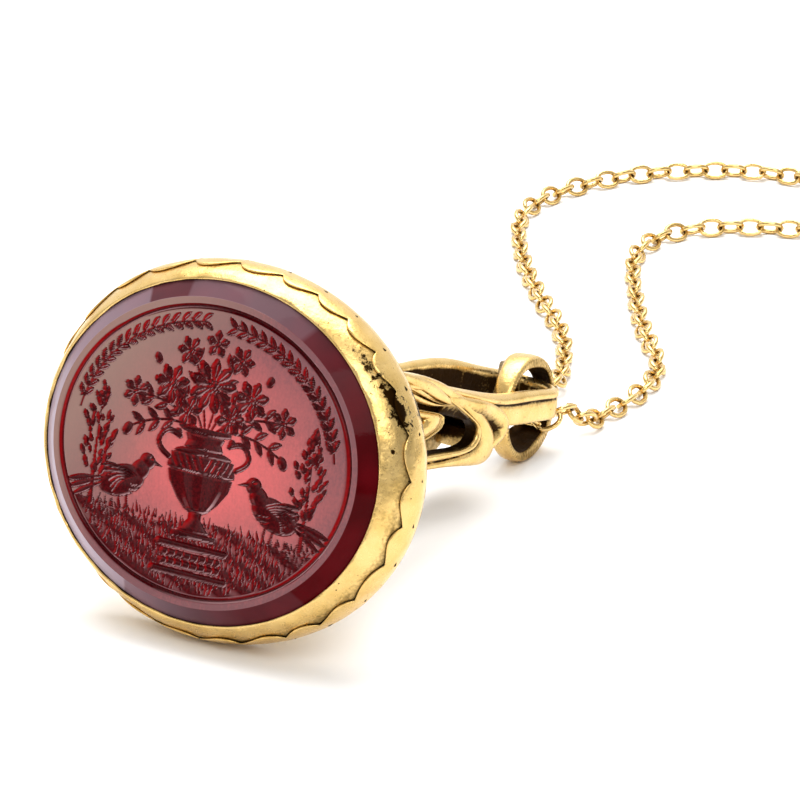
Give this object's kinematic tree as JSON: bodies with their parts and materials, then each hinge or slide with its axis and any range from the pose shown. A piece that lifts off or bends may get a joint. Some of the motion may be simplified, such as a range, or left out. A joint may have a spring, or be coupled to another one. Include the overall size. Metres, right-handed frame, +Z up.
{
  "type": "intaglio seal pendant",
  "caption": "Gold fob seal with an oval carnelian intaglio, scalloped rim and openwork ribbon handle, worn as a pendant on a fine cable chain through a ring bail.",
  "frame": {"origin": "on the surface that the pendant lies on, below the end of the seal's handle", "axes": "+Z up from the surface, +Y from the seal's face along its handle and on along the chain's loop, +X to the seal's right when its face is looked at from behind"},
  "size_m": [0.1425, 0.1596, 0.0231],
  "materials": {
    "gold": "worn polish with dark patina in the hollows",
    "carnelian": "polished, translucent"
  },
  "bodies": {
    "root": {"intaglio_stone": "carnelian", "bezel": "gold", "seal_body": "gold", "bail_ring": "gold", "chain": "gold", "clasp": "gold"}
  },
  "joints": []
}
